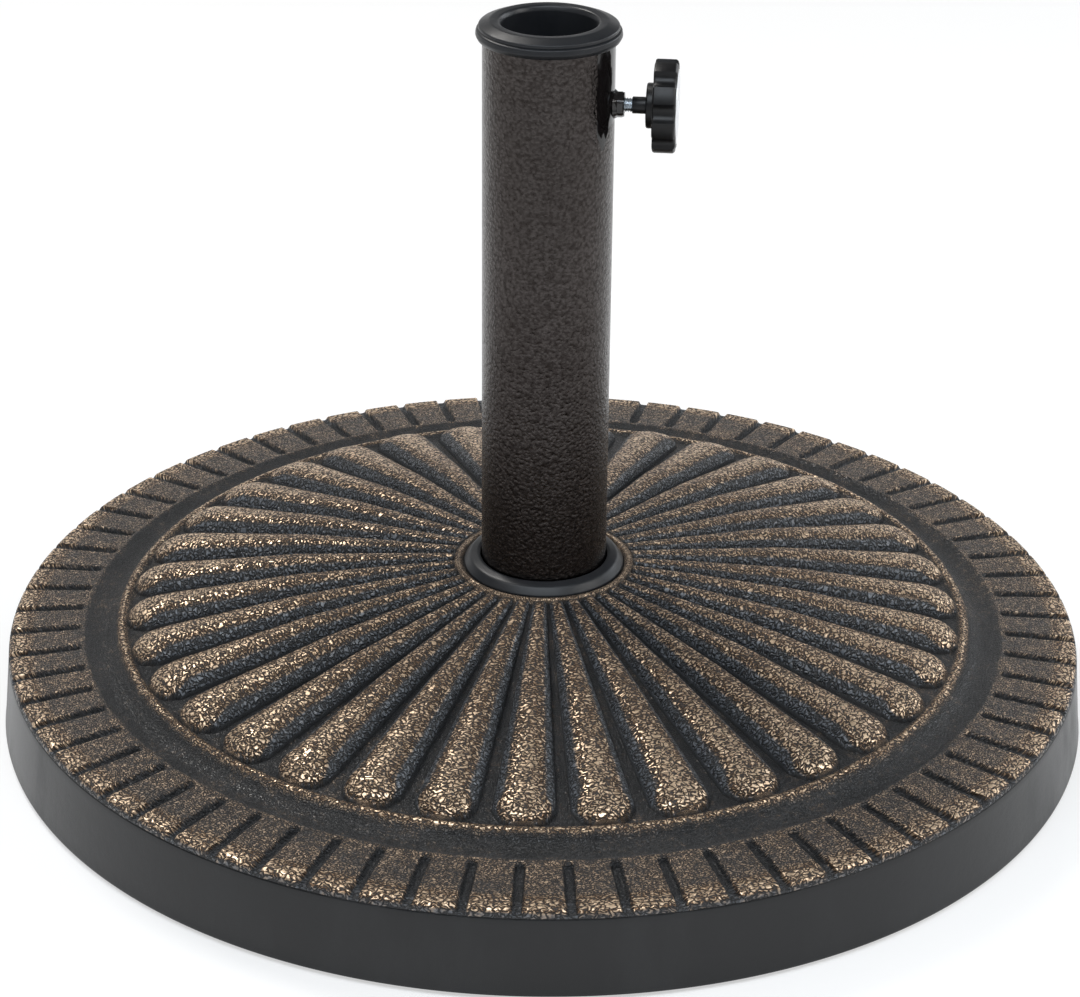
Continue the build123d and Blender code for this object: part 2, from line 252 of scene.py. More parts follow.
# ---------------------------------------------------------------- material helpers
def new_material(name):
    """Material, its node tree and its shader."""
    made = bpy.data.materials.new(name)
    made.use_nodes = True
    shader = made.node_tree.nodes["Principled BSDF"]
    return made, made.node_tree, shader


def feed(tree, value, socket):
    """Sets a socket, from another socket or to a constant."""
    if isinstance(value, bpy.types.NodeSocket):
        tree.links.new(value, socket)
    else:
        socket.default_value = value


def node(tree, kind, inputs=None, **settings):
    """New node with its settings made and its inputs fed."""
    made = tree.nodes.new(kind)
    for key, value in settings.items():
        setattr(made, key, value)
    for key, value in (inputs or {}).items():
        feed(tree, value, made.inputs[key])
    return made


def math_node(tree, operation, *values):
    """Result of a Math node."""
    made = node(tree, "ShaderNodeMath", operation=operation)
    for index, value in enumerate(values):
        feed(tree, value, made.inputs[index])
    return made.outputs[0]


def vector_node(tree, operation, inputs):
    """Result of a Vector Math node."""
    return node(tree, "ShaderNodeVectorMath", inputs, operation=operation).outputs[0]


def mapped(tree, value, from_low, from_high, to_low=0.0, to_high=1.0, kind="SMOOTHSTEP"):
    """Value mapped from one range to another, and held at its ends."""
    made = node(
        tree,
        "ShaderNodeMapRange",
        {
            "Value": value,
            "From Min": from_low,
            "From Max": from_high,
            "To Min": to_low,
            "To Max": to_high,
        },
        interpolation_type=kind,
    )
    return made.outputs["Result"]


def mixed(tree, share, first, second):
    """Mix of two colours."""
    return node(tree, "ShaderNodeMix", {0: share, 6: first, 7: second}, data_type="RGBA").outputs[2]


def between(tree, share, first, second):
    """Mix of two values."""
    return node(tree, "ShaderNodeMix", {0: share, 2: first, 3: second}, data_type="FLOAT").outputs[0]


def rgb(red, green, blue):
    """Opaque colour."""
    return (red, green, blue, 1.0)


def object_place(tree):
    """Place on the object, in metres."""
    return node(tree, "ShaderNodeTexCoord").outputs["Object"]


def noise(tree, place, scale, detail=4.0, rough=0.55, distortion=0.0):
    """Cloudy value from 0 to 1, its scale per metre."""
    return node(
        tree,
        "ShaderNodeTexNoise",
        {
            "Vector": place,
            "Scale": scale,
            "Detail": detail,
            "Roughness": rough,
            "Distortion": distortion,
        },
    ).outputs["Fac"]


def attribute(tree, name):
    """Value of one of the shell's point attributes."""
    return node(tree, "ShaderNodeAttribute", attribute_name=name).outputs["Fac"]


def bump(tree, shader, height, distance, strength=1.0):
    """Relief in the shading only, its distance in metres."""
    made = node(
        tree, "ShaderNodeBump", {"Strength": strength, "Distance": distance, "Height": height}
    )
    tree.links.new(made.outputs[0], shader.inputs["Normal"])


# ---------------------------------------------------------------- materials
def bronze_material():
    """Near-black moulded resin: a pebbled grain, with antique bronze rubbed on its high spots,
    painted glints on the bronze and a painted slate-blue reflection on the pebble tops left bare.
    """
    made, tree, shader = new_material("bronze_resin")
    place = object_place(tree)
    rub = attribute(tree, "rub")
    grain = attribute(tree, "grain")
    size = attribute(tree, "size")

    along = math_node(tree, "MULTIPLY", attribute(tree, "along"), 1.3)
    skin = node(tree, "ShaderNodeCombineXYZ", {0: along, 1: attribute(tree, "over")}).outputs[0]

    def pebbles(size_mm, bend):
        """Height of rounded pebbles of a size, laid along the surface, with curved creases."""
        cells = vector_node(tree, "SCALE", {0: skin, "Scale": 1 / size_mm})
        warp = node(
            tree,
            "ShaderNodeTexNoise",
            {"Vector": cells, "Scale": 0.85, "Detail": 1.0},
            noise_dimensions="2D",
        )
        shift = vector_node(tree, "SUBTRACT", {0: warp.outputs["Color"], 1: (0.5, 0.5, 0.5)})
        pull = vector_node(tree, "SCALE", {0: shift, "Scale": bend})
        moved = vector_node(tree, "ADD", {0: cells, 1: pull})
        return node(
            tree,
            "ShaderNodeTexVoronoi",
            {"Vector": moved, "Scale": 1.0, "Randomness": 0.85},
            feature="DISTANCE_TO_EDGE",
            voronoi_dimensions="2D",
        ).outputs["Distance"]

    coarse = pebbles(2.45, 1.9)
    fine = pebbles(1.45, 1.7)
    kind = mapped(tree, size, 0.42, 0.58)
    edge = between(tree, kind, fine, coarse)
    pebble = mapped(tree, edge, 0.0, 0.36)
    crease = mapped(tree, rub, 0.45, 0.95, 0.09, 0.05)
    open_top = mapped(tree, math_node(tree, "SUBTRACT", edge, crease), 0.0, 0.11)
    patch = noise(tree, place, 55.0, 3.0)
    cell = noise(tree, place, 330.0, 1.0)
    glint_speck = noise(tree, place, 1300.0, 2.0)

    spread = math_node(tree, "MULTIPLY_ADD", cell, 0.30, rub)
    spread = math_node(tree, "MULTIPLY_ADD", patch, 0.40, spread)
    rubbed = mapped(tree, spread, 0.48, 1.02)
    lit_top = math_node(tree, "MULTIPLY", rubbed, open_top)
    # Painted highlight: cream glints on the bronzed pebble tops, strongest where the bronze is
    # fullest at the petal noses, stand in for reflections of the lamps
    glint_peak = math_node(tree, "MULTIPLY_ADD", glint_speck, 0.25, pebble)
    glint_peak = math_node(tree, "MULTIPLY_ADD", cell, 0.9, glint_peak)
    glint_peak = math_node(tree, "MULTIPLY_ADD", mapped(tree, rub, 0.80, 1.0), 0.35, glint_peak)
    painted_glint = math_node(tree, "MULTIPLY", lit_top, mapped(tree, glint_peak, 1.10, 1.80))
    # Painted reflection: where the grain is high, pebble tops left without bronze are painted a light
    # slate blue that stands in for cool light reflected off the glossy petal flanks
    flank = math_node(tree, "MULTIPLY", open_top, mapped(tree, grain, 0.3, 1.0))

    cloudy = mapped(tree, patch, 0.3, 0.7)
    resin = mixed(tree, cloudy, rgb(0.009, 0.0095, 0.0105), rgb(0.015, 0.0155, 0.017))
    # Painted reflection colour, slate blue, over the near-black resin
    resin = mixed(tree, flank, resin, rgb(0.094, 0.103, 0.116))
    top = mixed(tree, math_node(tree, "MULTIPLY", rubbed, 0.9), resin, rgb(0.012, 0.007, 0.0045))
    top = mixed(tree, lit_top, top, rgb(0.200, 0.123, 0.073))
    # Painted highlight colour of the glints
    top = mixed(tree, painted_glint, top, rgb(0.800, 0.610, 0.430))
    feed(tree, top, shader.inputs["Base Color"])
    feed(tree, math_node(tree, "MULTIPLY", lit_top, 0.85), shader.inputs["Metallic"])
    shader.inputs["Specular IOR Level"].default_value = 0.55
    rough_top = mapped(tree, open_top, 0.0, 1.0, 0.56, 0.30, "LINEAR")
    feed(tree, math_node(tree, "MULTIPLY_ADD", patch, 0.10, rough_top), shader.inputs["Roughness"])

    height = math_node(tree, "MULTIPLY", pebble, grain)
    tiny = noise(tree, place, 2400.0, 2.0)
    bump(tree, shader, math_node(tree, "MULTIPLY_ADD", tiny, 0.045, height), 0.0014)
    return made


def side_material():
    """Plain charcoal side of the same moulding, rubbed dull in places and lightly scuffed."""
    made, tree, shader = new_material("resin_side")
    place = object_place(tree)
    stretched = vector_node(tree, "MULTIPLY", {0: place, 1: (1.0, 1.0, 0.35)})
    cloud = mapped(tree, noise(tree, stretched, 22.0, 6.0, 0.65), 0.42, 0.74)
    colour = mixed(tree, cloud, rgb(0.0045, 0.005, 0.006), rgb(0.013, 0.0137, 0.015))
    feed(tree, colour, shader.inputs["Base Color"])
    feed(tree, mapped(tree, cloud, 0.0, 1.0, 0.32, 0.48, "LINEAR"), shader.inputs["Roughness"])
    shader.inputs["Specular IOR Level"].default_value = 0.42
    broad = noise(tree, place, 240.0, 4.0, 0.6)
    grain = math_node(tree, "MULTIPLY_ADD", broad, 1.6, noise(tree, place, 2400.0, 2.0))
    bump(tree, shader, grain, 0.00010, 0.5)
    return made


def plastic_material(name, colour, pale, rough):
    """Satin moulded plastic with a fine spark grain and faint handling marks."""
    made, tree, shader = new_material(name)
    place = object_place(tree)
    cloud = mapped(tree, noise(tree, place, 45.0, 5.0), 0.35, 0.7)
    feed(tree, mixed(tree, cloud, colour, pale), shader.inputs["Base Color"])
    marks = noise(tree, place, 130.0, 6.0, 0.7)
    feed(
        tree, mapped(tree, marks, 0.3, 0.75, rough - 0.05, rough + 0.07), shader.inputs["Roughness"]
    )
    shader.inputs["Specular IOR Level"].default_value = 0.30
    bump(tree, shader, noise(tree, place, 2600.0, 2.0), 0.00008, 0.35)
    return made


def hammered_material():
    """Very dark brown hammer-finish powder coat, smooth and glossy where the paint pooled."""
    made, tree, shader = new_material("hammered_paint")
    place = object_place(tree)
    parts = node(tree, "ShaderNodeSeparateXYZ", {0: place})
    turn = math_node(tree, "ARCTAN2", parts.outputs[1], parts.outputs[0])
    arc = math_node(tree, "ABSOLUTE", math_node(tree, "MULTIPLY", turn, tube_radius * MM))
    off_drip = math_node(tree, "SUBTRACT", arc, drip_place * MM)
    off_drip = math_node(tree, "DIVIDE", off_drip, drip_half * MM)
    squared = math_node(tree, "MULTIPLY", off_drip, off_drip)
    drip = math_node(tree, "EXPONENT", math_node(tree, "MULTIPLY", squared, -1.0))
    drip_drop = math_node(tree, "MULTIPLY", drip, drip_length * MM)
    edge = math_node(tree, "SUBTRACT", (clamp_z - pool_below) * MM, drip_drop)
    ragged = math_node(tree, "MULTIPLY", noise(tree, place, 200.0, 1.0), 0.0016)
    above = math_node(tree, "GREATER_THAN", math_node(tree, "ADD", parts.outputs[2], ragged), edge)
    beside = math_node(tree, "LESS_THAN", math_node(tree, "ADD", arc, ragged), pool_half * MM)
    pooled = math_node(tree, "MULTIPLY", above, beside)

    bent = node(tree, "ShaderNodeTexNoise", {"Vector": place, "Scale": 420.0, "Detail": 1.0})
    folds = vector_node(tree, "SCALE", {0: bent.outputs["Color"], "Scale": 0.0012})
    moved = vector_node(tree, "ADD", {0: place, 1: folds})
    cells = node(
        tree, "ShaderNodeTexVoronoi", {"Vector": moved, "Scale": 720.0}, feature="SMOOTH_F1"
    ).outputs["Distance"]
    peel = math_node(tree, "MULTIPLY_ADD", noise(tree, place, 900.0, 3.0, 0.6, 0.8), 0.8, cells)
    cloud = mapped(tree, noise(tree, place, 20.0, 4.0), 0.3, 0.7, 0.0, 0.35)
    tone = mapped(tree, peel, 0.5, 1.15)
    coat = mixed(tree, tone, rgb(0.082, 0.073, 0.070), rgb(0.036, 0.031, 0.029))
    coat = mixed(tree, cloud, coat, rgb(0.030, 0.025, 0.023))
    coat = mixed(tree, pooled, coat, rgb(0.006, 0.005, 0.005))
    feed(tree, coat, shader.inputs["Base Color"])
    feed(tree, math_node(tree, "SUBTRACT", 1.0, pooled), shader.inputs["Metallic"])
    shader.inputs["Specular IOR Level"].default_value = 0.45
    rough = between(tree, pooled, mapped(tree, peel, 0.4, 1.2, 0.17, 0.28), 0.08)
    feed(tree, rough, shader.inputs["Roughness"])
    strength = math_node(tree, "SUBTRACT", 1.0, math_node(tree, "MULTIPLY", pooled, 0.95))
    bump(tree, shader, math_node(tree, "MULTIPLY", peel, strength), 0.00024)
    return made


def gloss_paint_material():
    """Pooled black paint on the weld and its nut."""
    made, tree, shader = new_material("pooled_paint")
    place = object_place(tree)
    cloud = noise(tree, place, 300.0, 3.0)
    colour = mixed(tree, cloud, rgb(0.008, 0.007, 0.007), rgb(0.018, 0.015, 0.014))
    feed(tree, colour, shader.inputs["Base Color"])
    feed(tree, mapped(tree, cloud, 0.3, 0.7, 0.10, 0.22), shader.inputs["Roughness"])
    bump(tree, shader, noise(tree, place, 420.0, 2.0), 0.0003, 0.6)
    return made


def zinc_material():
    """Bright zinc plate with a faint blue cast, fine turning marks and dull patches."""
    made, tree, shader = new_material("zinc_steel")
    place = object_place(tree)
    cloud = noise(tree, place, 180.0, 5.0, 0.6)
    dulled = mapped(tree, cloud, 0.35, 0.7)
    colour = mixed(tree, dulled, rgb(0.52, 0.57, 0.62), rgb(0.74, 0.77, 0.79))
    feed(tree, colour, shader.inputs["Base Color"])
    shader.inputs["Metallic"].default_value = 1.0
    feed(tree, mapped(tree, cloud, 0.3, 0.7, 0.24, 0.40), shader.inputs["Roughness"])
    bump(tree, shader, noise(tree, place, 1500.0, 3.0), 0.00004, 0.4)
    return made


def disc_material():
    """Pale silver disc, spun finish in rings round the knob's axis."""
    made, tree, shader = new_material("silver_insert")
    place = object_place(tree)
    parts = node(tree, "ShaderNodeSeparateXYZ", {0: place})
    up = math_node(tree, "SUBTRACT", parts.outputs[2], clamp_z * MM)
    side = parts.outputs[1]
    squares = math_node(tree, "MULTIPLY_ADD", side, side, math_node(tree, "MULTIPLY", up, up))
    span = math_node(tree, "SQRT", squares)
    rings = node(
        tree,
        "ShaderNodeTexNoise",
        {"W": math_node(tree, "MULTIPLY", span, 5200.0), "Scale": 1.0, "Detail": 3.0},
        noise_dimensions="1D",
    ).outputs["Fac"]
    colour = mixed(tree, rings, rgb(0.70, 0.71, 0.73), rgb(0.88, 0.89, 0.90))
    feed(tree, colour, shader.inputs["Base Color"])
    shader.inputs["Metallic"].default_value = 0.85
    feed(tree, mapped(tree, rings, 0.2, 0.8, 0.26, 0.42), shader.inputs["Roughness"])
    bump(tree, shader, rings, 0.00003, 0.3)
    return made


def rubber_material():
    """Matt black rubber with a dusty cloud and a fine grain."""
    made, tree, shader = new_material("foot_rubber")
    place = object_place(tree)
    cloud = noise(tree, place, 120.0, 4.0)
    colour = mixed(tree, cloud, rgb(0.014, 0.014, 0.014), rgb(0.030, 0.029, 0.028))
    feed(tree, colour, shader.inputs["Base Color"])
    feed(tree, mapped(tree, cloud, 0.3, 0.7, 0.72, 0.86), shader.inputs["Roughness"])
    bump(tree, shader, noise(tree, place, 1400.0, 3.0), 0.0001, 0.5)
    return made


def cement_material():
    """Cast cement, cloudy and sandy."""
    made, tree, shader = new_material("cement")
    place = object_place(tree)
    cloud = mapped(tree, noise(tree, place, 34.0, 8.0, 0.65), 0.3, 0.7)
    colour = mixed(tree, cloud, rgb(0.34, 0.33, 0.31), rgb(0.52, 0.51, 0.48))
    feed(tree, colour, shader.inputs["Base Color"])
    shader.inputs["Roughness"].default_value = 0.9
    bump(tree, shader, noise(tree, place, 700.0, 4.0, 0.7), 0.0005, 0.8)
    return made


bronze = bronze_material()
resin_side = side_material()
black_plastic = plastic_material(
    "black_plastic", rgb(0.009, 0.010, 0.012), rgb(0.014, 0.015, 0.017), 0.36
)
knob_plastic = plastic_material(
    "knob_plastic", rgb(0.004, 0.004, 0.0045), rgb(0.008, 0.008, 0.009), 0.36
)
hammered = hammered_material()
pooled_paint = gloss_paint_material()
zinc = zinc_material()
silver = disc_material()
rubber = rubber_material()
cement = cement_material()


# ---------------------------------------------------------------- moulded shell
def column_angles(radius):
    """Turn of a slot's columns from its middle: evenly spread, and beside the slot's walls.

    The dome takes the even ones. The border takes the others, so that no column crosses a wall.
    """
    even = np.linspace(-petal_period / 4, petal_period / 4, columns_per_slot, endpoint=False)
    reach = petal_period / 4 * radius
    wall, beyond = wall_marks[wall_marks_fixed - 1], wall_marks[wall_marks_fixed:]
    spread = wall + (beyond - wall) * (reach - wall) / (wall_marks_reach - wall)
    marks = np.concatenate([wall_marks[:wall_marks_fixed], spread])
    placed = np.concatenate([[-reach], -marks[::-1], marks[1:]])
    return even, placed / radius


def column_turns(radius):
    """Turn of every column round the shell, from its nearest petal and from its nearest slot."""
    even, beside_walls = column_angles(max(radius, least_marked_radius))
    share = float(smooth_step(field_radius, border_inner, radius))
    slot_turn = even * (1 - share) + beside_walls * share
    pair = np.concatenate([slot_turn, slot_turn + petal_period / 2])
    turn = np.concatenate([pair + petal_period * index for index in range(petal_count)])
    petal_turn = (pair + petal_period / 2) % petal_period - petal_period / 2
    return turn, np.tile(petal_turn, petal_count), np.tile(slot_turn, 2 * petal_count)


def crest_height(radius):
    """Height of a petal's crest above the dome."""
    shares, heights = np.array(petal_crest).T
    return np.interp(radius, petal_start + shares * (nose_start - petal_start), heights)


def dome_height(radius):
    """Height of the dome between its petals."""
    return field_z + dome_rise * (field_radius - radius) / (field_radius - bead_outer)


def plain_height(radius):
    """Height of the shell's top without petals or slots."""
    cone = dome_height(radius)
    hub = np.full_like(radius, hub_z)
    bead = hub_z + bead_height * np.sqrt(np.clip(1 - ((radius - bead_radius) / bead_half) ** 2, 0, 1))
    across = np.clip((radius - field_radius) / cove_width, 0, 1)
    cove = field_z - field_step * across - 4 * across * (1 - across) * cove_sag
    fall = np.clip((radius - border_inner) / (rim_radius - border_inner), 0, 1)
    border = border_z - border_rise * fall
    lip = lip_height * np.sqrt(
        np.clip(1 - ((radius - field_radius + lip_inset) / lip_half) ** 2, 0, 1)
    )
    height = np.where(radius < bead_outer, np.maximum(hub, bead), cone + lip)
    height = np.where(radius > field_radius, cove + lip, height)
    return np.where(radius > border_inner, border, height)


def relief(radius, petal_turn, slot_turn):
    """Height that a petal adds, share that a slot takes and the place across the petal."""
    nose = np.clip((radius - nose_start) / nose_length, 0, 1)
    crest = crest_height(radius) * np.sqrt(1 - nose**2.2)
    blunt = np.clip((radius - (petal_tip - nose_round)) / nose_round, 0, 1)
    half = petal_spread * radius * np.sqrt(np.clip(1 - blunt**2.4, 0, 1)) + 1e-6
    across = radius * np.sin(petal_turn) / half
    arc = np.sqrt(np.clip(1 - np.abs(across) ** 2.3, 0, 1))
    on_petal = (radius > petal_start - 1) & (radius < petal_tip)
    petal = np.where(on_petal, crest * arc, 0)
    beside = np.abs(radius * np.sin(slot_turn))
    start = border_inner + slot_land + slot_half
    beyond = np.clip(start - radius, 0, None)
    slot = 1 - smooth_step(slot_floor_half, slot_half + 0.25, np.hypot(beside, beyond))
    slot = np.where(radius > border_inner, slot, 0)
    return petal, slot, across


def shell_rings():
    """(radius, height, top, side) of each ring of the shell, round its closed section.

    On top, 1 takes its height from the relief and 2 keeps its own; side picks the plain resin.
    """
    rings = []
    inner_top = parting_z + rim_rise - slot_depth - border_wall

    def run(start, end, count, top, side):
        """Evenly spaced rings from the start to just before the end."""
        for step in range(count):
            share = step / count
            radius = start[0] + (end[0] - start[0]) * share
            height = start[1] + (end[1] - start[1]) * share
            rings.append((radius, height, top, side))

    pocket_radius = flange_high.x + 0.6
    run((sleeve_bore, pocket_z), (pocket_radius, pocket_z), 3, 0, 0)
    run((pocket_radius, pocket_z), (pocket_radius, hub_z - 0.4), 2, 0, 0)
    run((pocket_radius + 0.3, hub_z), (bead_radius - bead_half, hub_z), 3, 0, 0)
    for start, end, count in (
        (bead_radius - bead_half, bead_outer, 8),
        (bead_outer, petal_tip, dome_rings),
        (petal_tip, field_radius, 8),
        (field_radius, border_inner, 16),
        (border_inner, border_inner + 5, 8),
        (border_inner + 5, rim_radius, border_rings),
    ):
        run((start, 0), (end, 0), count, 1, 0)
    for step in range(9):
        turn = math.pi / 2 * step / 8
        rings.append(
            (rim_radius + rim_roll * math.sin(turn), parting_z + rim_rise * math.cos(turn), 2, 0)
        )
    # Fine groove at the parting line, above the drafted side wall
    rings += [
        (parting_radius + 0.02, parting_z - 0.02, 0, 0),
        (parting_radius - 0.35, parting_z - 0.30, 0, 1),
        (parting_radius - 0.35, parting_z - 0.50, 0, 1),
        (parting_radius + 0.02, parting_z - 0.75, 0, 1),
    ]
    run((parting_radius + 0.08, parting_z - 0.9), (base_radius - 0.3, shell_z + 1.6), 12, 0, 1)
    # Lower edge
    rings += [
        (base_radius - 0.12, shell_z + 1.2, 0, 1),
        (base_radius, shell_z + 0.5, 0, 1),
        (base_radius - 0.15, shell_z + 0.15, 0, 1),
        (base_radius - 0.6, shell_z, 0, 1),
        (base_radius - side_wall, shell_z, 0, 1),
    ]
    # Inside of the shell, back to the middle
    run((base_radius - side_wall, shell_z + 0.3), (rim_radius, inner_top), 3, 0, 1)
    run((rim_radius, inner_top), (pocket_radius + hub_wall, pocket_z), 4, 0, 1)
    rings += [
        (pocket_radius + hub_wall, pocket_z - pocket_floor, 0, 1),
        (sleeve_bore + sleeve_wall, pocket_z - pocket_floor, 0, 1),
        (sleeve_bore + sleeve_wall, sleeve_end, 0, 1),
        (sleeve_bore, sleeve_end, 0, 1),
    ]
    return np.array(rings, float)


def skin_places(points, turns):
    """Distances along the surface outwards and across from a petal's middle, and its number."""
    outwards = np.linalg.norm(np.diff(points, axis=0), axis=2)
    along = np.concatenate([np.zeros((1, points.shape[1])), np.cumsum(outwards, axis=0)])
    closed = np.concatenate([points, points[:, :1]], axis=1)
    across = np.linalg.norm(np.diff(closed, axis=1), axis=2)
    whole = across.sum(axis=1) / petal_count
    walked = np.concatenate([np.zeros((len(points), 1)), np.cumsum(across, axis=1)[:, :-1]], axis=1)
    number = np.floor(turns / petal_period + 0.5)
    middle = np.array([np.interp(0.0, turn, walk) for turn, walk in zip(turns, walked)])
    over = walked - middle[:, None] - number * whole[:, None]
    return along, over, number


def wear(radii, petal, slot, across):
    """Bronze rubbed on, height and size of the grain, each from 0 to about 1, and which is petal."""
    on_petal = (radii < petal_tip) & (np.abs(across) < 1) & (radii > petal_start)
    crest = np.clip(petal / np.maximum(crest_height(radii), 0.1), 0, 1)
    nose = smooth_step(petal_tip - 16, petal_tip - 3, radii)
    wiped = smooth_step(0.62 - 0.54 * nose, 1.0 - 0.5 * nose, crest)
    outer = smooth_step(60, petal_tip - 12, radii)
    rub = np.where(on_petal, wiped * (0.62 + 0.38 * outer), 0.15)
    grain = np.where(on_petal, 1.0, 0.34)
    size = np.where(on_petal, 0.85, 0.2)

    bead = np.exp(-(((radii - bead_radius) / 1.8) ** 2))
    lip = np.exp(-(((radii - field_radius + lip_inset) / 1.9) ** 2))
    rub = np.maximum(rub, np.maximum(lip, 0.95 * bead))
    grain = np.maximum(grain, np.maximum(lip, bead))
    size = np.maximum(size, np.maximum(1.2 * lip, bead))

    border = smooth_step(border_inner - 1.5, border_inner + 1.0, radii)
    edge = smooth_step(rim_radius - 9, rim_radius - 3, radii)
    rim = smooth_step(rim_radius + 1.6, rim_radius + 2.8, radii)
    block = (0.36 + 0.60 * edge) * (1 - slot) * (1 - 0.75 * rim)
    rub = rub * (1 - border) + block * border
    grain = grain * (1 - border) + (0.62 + 0.38 * edge) * (1 - 0.4 * slot) * border
    size = size * (1 - border) + (0.15 + 0.75 * edge) * border
    return rub, grain, size, on_petal


def shell_relief():
    """The moulded shell, with the point attributes that its materials are laid out by."""
    rows, facts, turns = [], [], []
    for radius, height, top, side in shell_rings():
        turn, petal_turn, slot_turn = column_turns(radius)
        angle = turn + math.radians(pattern_phase)
        radii = np.full_like(angle, radius)
        petal, slot, across = relief(radii, petal_turn, slot_turn)
        z = plain_height(radii) + petal if top == 1 else np.full_like(angle, height)
        shades = np.zeros((4, len(angle)))
        if top:
            fall = (radii - border_inner) / (rim_radius - border_inner)
            slot_floor = border_z - border_rise * fall - slot_depth
            z = z - slot * np.clip(z - slot_floor, 0, None)
            shades = wear(radii, petal, slot, across)
        rows.append(np.stack([radii * np.cos(angle), radii * np.sin(angle), z], axis=-1))
        facts.append(np.stack([*shades, np.full_like(angle, side)]))
        turns.append(turn)
    points, turns = np.array(rows), np.array(turns)
    rub, grain, size, on_petal, side = np.array(facts).transpose(1, 0, 2)
    along, over, number = skin_places(points, turns)
    along = along + np.where(on_petal > 0.5, petal_shift * number, 0)
    over = np.where(on_petal > 0.5, over, turns * plain_grain_radius)
    made = grid_object("shell_relief", points)
    named = {"rub": rub, "grain": grain, "size": size, "side": side, "along": along, "over": over}
    for name, values in named.items():
        layer = made.data.attributes.new(name, "FLOAT", "POINT")
        layer.data.foreach_set("value", values.reshape(-1).astype(np.float32))
    return made


def paint_sides(made, paint):
    """Second material on the faces that are marked as side, below the parting line."""
    made.data.materials.append(paint)
    marks = np.zeros(len(made.data.vertices), np.float32)
    made.data.attributes["side"].data.foreach_get("value", marks)
    corners = np.zeros(len(made.data.loops), np.int32)
    made.data.loops.foreach_get("vertex_index", corners)
    plain_faces = marks[corners].reshape(-1, 4).mean(axis=1) > 0.4
    made.data.polygons.foreach_set("material_index", plain_faces.astype(np.int32))


shell = finish_piece(shell_relief(), "root", bronze, "base_shell")
paint_sides(shell, resin_side)


# ---------------------------------------------------------------- plastic rings on the tube
ring_bore = tube_radius + 0.55
ring_rise = ring_high.z - hub_z
trim = turned(
    "trim_ring_moulding",
    round_corners(
        [
            (ring_high.x - 3.2, hub_z, 0),
            (ring_high.x, hub_z, 0.5),
            (ring_high.x, hub_z + 1.5, 1.4),
            (ring_high.x - 2.6, hub_z + 0.84 * ring_rise, 3.0),
            (ring_bore + 1.2, ring_high.z, 1.6),
            (ring_bore, ring_high.z - 0.5, 0.5),
            (ring_bore, ring_high.z - 2.0, 0),
        ]
    ),
    192,
)
finish_piece(trim, "trim_ring", black_plastic, "trim_ring")

collar_bore = 24.1
skirt_radius = tube_radius - 1.6
rim_low = tube_high.z
collar = turned(
    "tube_collar_moulding",
    round_corners(
        [
            (collar_bore, collar_low.z, 0.3),
            (skirt_radius, collar_low.z, 0.5),
            (skirt_radius, rim_low, 0),
            (tube_radius + 0.6, rim_low, 0.2),
            (collar_high.x - 0.9, rim_low + 0.5, 1.4),
            (collar_high.x, rim_low + 2.2, 1.6),
            (collar_high.x - 0.35, collar_high.z - 0.5, 0.9),
            (collar_high.x - 1.6, collar_high.z, 0.6),
            (collar_bore, collar_high.z, 0.3),
        ]
    ),
    192,
)
finish_piece(collar, "root", black_plastic, "tube_collar")

pole_bore = 19.75
sleeve_radius = pole_bore + 2.0
rib_radius = collar_bore - 0.25
rib_half = 1.2
rib_count = 6
reducer_top = reducer_high.z


def reducer_piece():
    """Domed flange on a ribbed sleeve: the ribs are columns pulled out of the sleeve's wall."""
    outline = round_corners(
        [
            (pole_bore, reducer_low.z, 0.3),
            (sleeve_radius, reducer_low.z, 0.4),
            (sleeve_radius, collar_high.z, 0),
            (reducer_high.x, collar_high.z, 0.25),
            (reducer_high.x, collar_high.z + 1.4, 0.9),
            (pole_bore + 4.6, reducer_top, 3.0),
            (pole_bore + 0.9, reducer_top - 0.15, 1.6),
            (pole_bore, reducer_top - 2.2, 2.0),
        ]
    )
    half = math.asin(rib_half / rib_radius)
    period = 2 * math.pi / rib_count
    flank = 0.08 * half
    plain_wall = np.linspace(half + 0.1, period - half - 0.1, 24)
    across = np.concatenate(
        [np.linspace(-half, half, 5), [half + flank], plain_wall, [period - half - flank]]
    )
    angle = np.concatenate([across + period * index for index in range(rib_count)])
    fold = (angle + period / 2) % period - period / 2
    ribbed = np.abs(fold) < half + 0.5 * flank
    rows = []
    for radius, height in outline:
        on_sleeve = sleeve_radius - 0.01 <= radius < sleeve_radius + 0.01
        pulled = np.where(ribbed & on_sleeve, rib_radius, radius)
        level = np.full_like(angle, height)
        rows.append(np.stack([pulled * np.cos(angle), pulled * np.sin(angle), level], -1))
    made = grid_object("pole_reducer_moulding", np.array(rows))
    return sharp_corners(made, 38)


finish_piece(reducer_piece(), "pole_reducer", black_plastic, "pole_reducer")


# ---------------------------------------------------------------- clamp: nut, weld, screw, knob
nut_flats = 10.0
nut_corner_cut = 0.35
nut_bore = 3.06


def nut_hexagon(columns):
    """Angles and radii of the nut's hexagon, with its corners cut back."""
    angle = np.linspace(0, 2 * math.pi, columns, endpoint=False)
    fold = (angle + math.pi / 6) % (math.pi / 3) - math.pi / 6
    corner = nut_flats / 2 / math.cos(math.pi / 6) - nut_corner_cut
    return angle, np.minimum(nut_flats / 2 / np.cos(fold), corner)


def clamp_nut_piece():
    """Weld nut with a chamfered outer face."""
    angle, hexagon = nut_hexagon(96)
    start, end = nut_low.x, nut_high.x
    profile = (
        (start, hexagon),
        (end - 0.9, hexagon),
        (end - 0.45, hexagon - 0.25),
        (end, np.minimum(hexagon, nut_flats / 2 + 0.15)),
        (end, nut_bore + 0.5),
        (end - 0.45, nut_bore),
        (start, nut_bore),
    )
    rows = [clamp_ring(x, radius, angle) for x, radius in profile]
    return sharp_corners(grid_object("clamp_nut_painted", np.array(rows)), 35)


finish_piece(clamp_nut_piece(), "root", pooled_paint, "clamp_nut")


